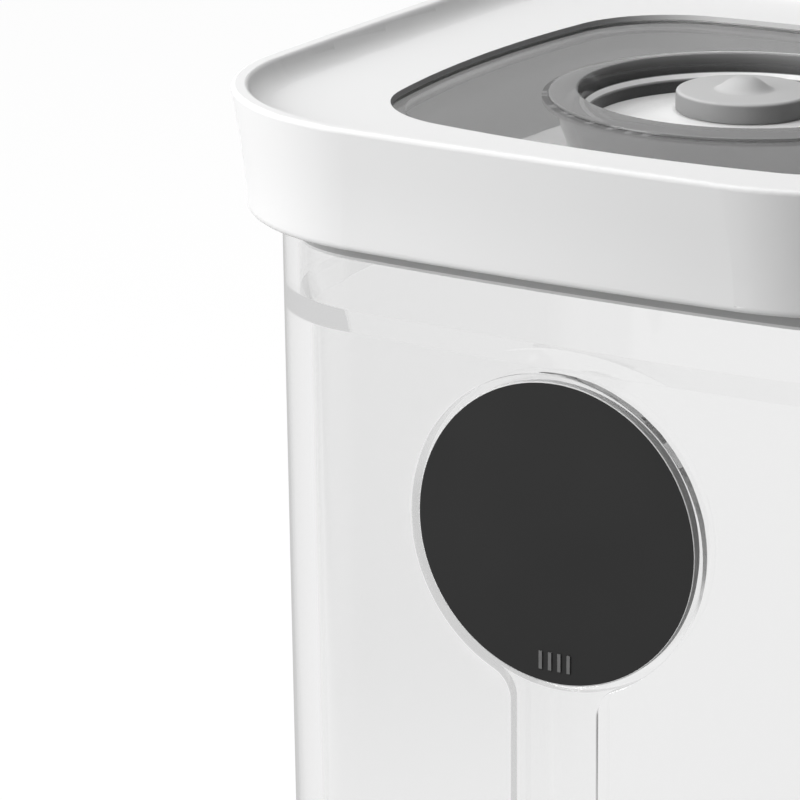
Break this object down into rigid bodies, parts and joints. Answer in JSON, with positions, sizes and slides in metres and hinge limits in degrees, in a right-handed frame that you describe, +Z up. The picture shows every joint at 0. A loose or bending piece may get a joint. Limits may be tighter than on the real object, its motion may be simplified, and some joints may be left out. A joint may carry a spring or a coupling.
{
  "type": "vacuum food canister",
  "caption": "Square clear canister with rounded corners, a flared frame lid with a smoked window, a pump collar and a pull-up valve button, and a round front label.",
  "frame": {"origin": "centre of the base on the surface that the canister stands on", "axes": "+Z up along the valve's axis, -Y out of the front wall that carries the label, +X to the right seen from the front"},
  "size_m": [0.11, 0.11, 0.16],
  "materials": {
    "clear_plastic": "clear moulded plastic, polished",
    "adhesive": "pale double-sided adhesive film",
    "label_dark": "smooth dark grey disc, satin",
    "label_print": "mid grey print",
    "white_plastic": "white moulded plastic, fine satin",
    "smoked_plastic": "smoked clear plastic, polished",
    "cup_plastic": "lightly smoked clear plastic, polished",
    "seat_plastic": "white moulded plastic, polished",
    "valve_silicone": "soft grey silicone, matt",
    "carrier_plastic": "pale moulded plastic",
    "seal_silicone": "pale silicone",
    "gasket_silicone": "grey silicone"
  },
  "bodies": {
    "container": {"container_body": "clear_plastic", "label_adhesive": "adhesive", "label_disc": "label_dark", "label_marks": "label_print"},
    "lid": {"lid_frame": "white_plastic", "window_panel": "smoked_plastic", "valve_cup": "cup_plastic", "valve_seat": "seat_plastic", "gasket_carrier": "carrier_plastic", "panel_seal": "seal_silicone", "lid_gasket": "gasket_silicone"},
    "valve": {"valve_button": "valve_silicone"}
  },
  "joints": [
    {"name": "lid_lift", "type": "slide", "parent": "container", "child": "lid", "axis": [0, 0, 1], "range_m": [0, 0.06]},
    {"name": "valve_lift", "type": "slide", "parent": "lid", "child": "valve", "axis": [0, 0, 1], "range_m": [0, 0.0015], "stiffness_N_per_m": 200}
  ]
}
